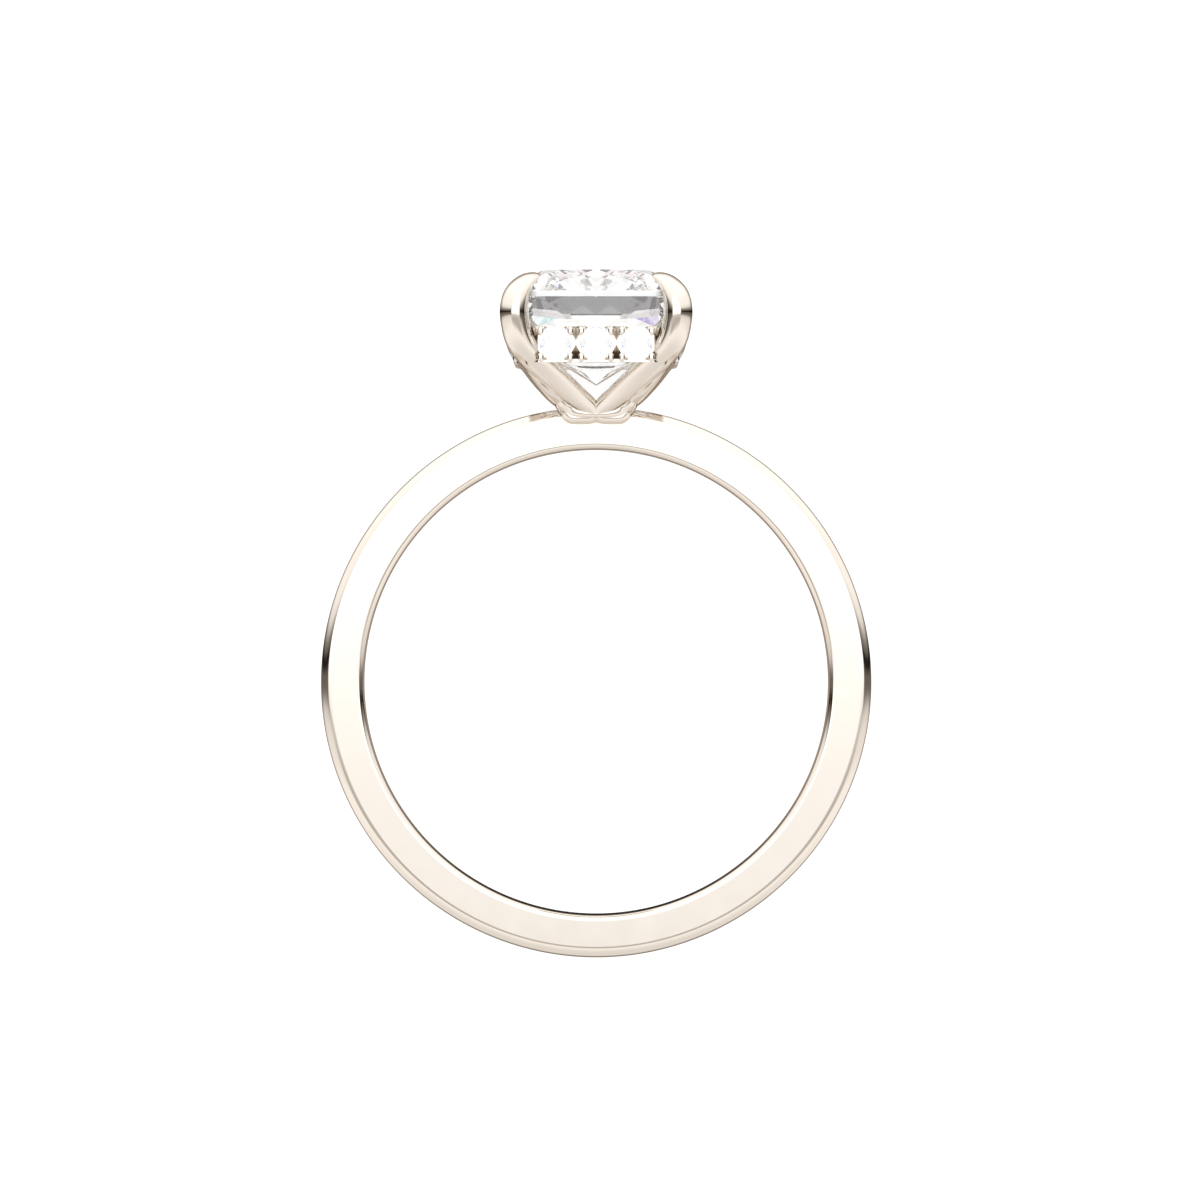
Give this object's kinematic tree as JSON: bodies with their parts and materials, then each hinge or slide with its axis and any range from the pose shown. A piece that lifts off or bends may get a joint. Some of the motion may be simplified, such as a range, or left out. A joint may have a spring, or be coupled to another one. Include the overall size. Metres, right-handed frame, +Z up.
{
  "type": "hidden halo engagement ring",
  "caption": "Engagement ring lying on its side: a large cut-corner stone in corner claws over a hidden halo of small round stones, on a plain flat band.",
  "frame": {"origin": "on the surface that the ring lies on, midway along its length and across its width", "axes": "+Z up from the surface, +Y from the band towards the centre stone, +X across the ring"},
  "size_m": [0.0194, 0.0244, 0.0081],
  "materials": {
    "white_gold": "polished",
    "diamond": "polished facets"
  },
  "bodies": {
    "root": {"mounting": "white_gold", "centre_stone": "diamond", "halo_front_1": "diamond", "halo_front_2": "diamond", "halo_front_3": "diamond", "halo_right_1": "diamond", "halo_right_2": "diamond", "halo_right_3": "diamond", "halo_right_4": "diamond", "halo_back_1": "diamond", "halo_back_2": "diamond", "halo_back_3": "diamond", "halo_left_1": "diamond", "halo_left_2": "diamond", "halo_left_3": "diamond", "halo_left_4": "diamond"}
  },
  "joints": []
}
